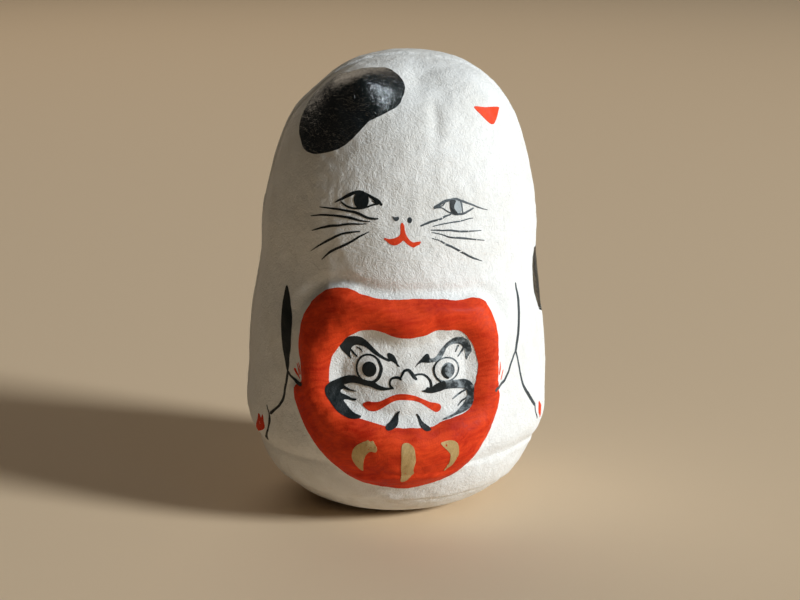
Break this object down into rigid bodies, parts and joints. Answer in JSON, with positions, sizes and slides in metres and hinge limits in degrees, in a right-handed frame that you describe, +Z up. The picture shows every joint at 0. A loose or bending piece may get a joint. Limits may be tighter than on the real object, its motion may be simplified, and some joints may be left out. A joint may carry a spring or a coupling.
{
  "type": "papier-mache cat roly-poly doll holding a daruma",
  "caption": "Papier-mache roly-poly cat hugging a red daruma in low relief, with brush-painted faces and a rounded, clay-weighted base.",
  "frame": {"origin": "centre of the small flat under the base, on which the doll rests", "axes": "-Y is the front with the two faces, +X is to the right as seen from the front, +Z is up through the crown"},
  "size_m": [0.0665, 0.0664, 0.1004],
  "materials": {
    "gofun_paper": "white shell-powder ground over layered paper, matte",
    "strip_paper": "washi strip under the same white ground",
    "base_paper": "white ground, slightly soiled underneath",
    "fired_clay": "unglazed",
    "cover_board": "plain brown board",
    "red_paint": "brushed vermilion paint on the white ground, matte",
    "black_ink": "blue-black ink on the white ground, satin",
    "gold_paint": "ochre gold paint, satin"
  },
  "bodies": {
    "root": {"front_shell": "gofun_paper", "rear_shell": "gofun_paper", "left_seam_strip": "strip_paper", "right_seam_strip": "strip_paper", "crown_seam_strip": "strip_paper", "base_dish": "base_paper", "base_joint_strip": "strip_paper", "clay_weight": "fired_clay", "weight_cover": "cover_board"}
  },
  "joints": []
}
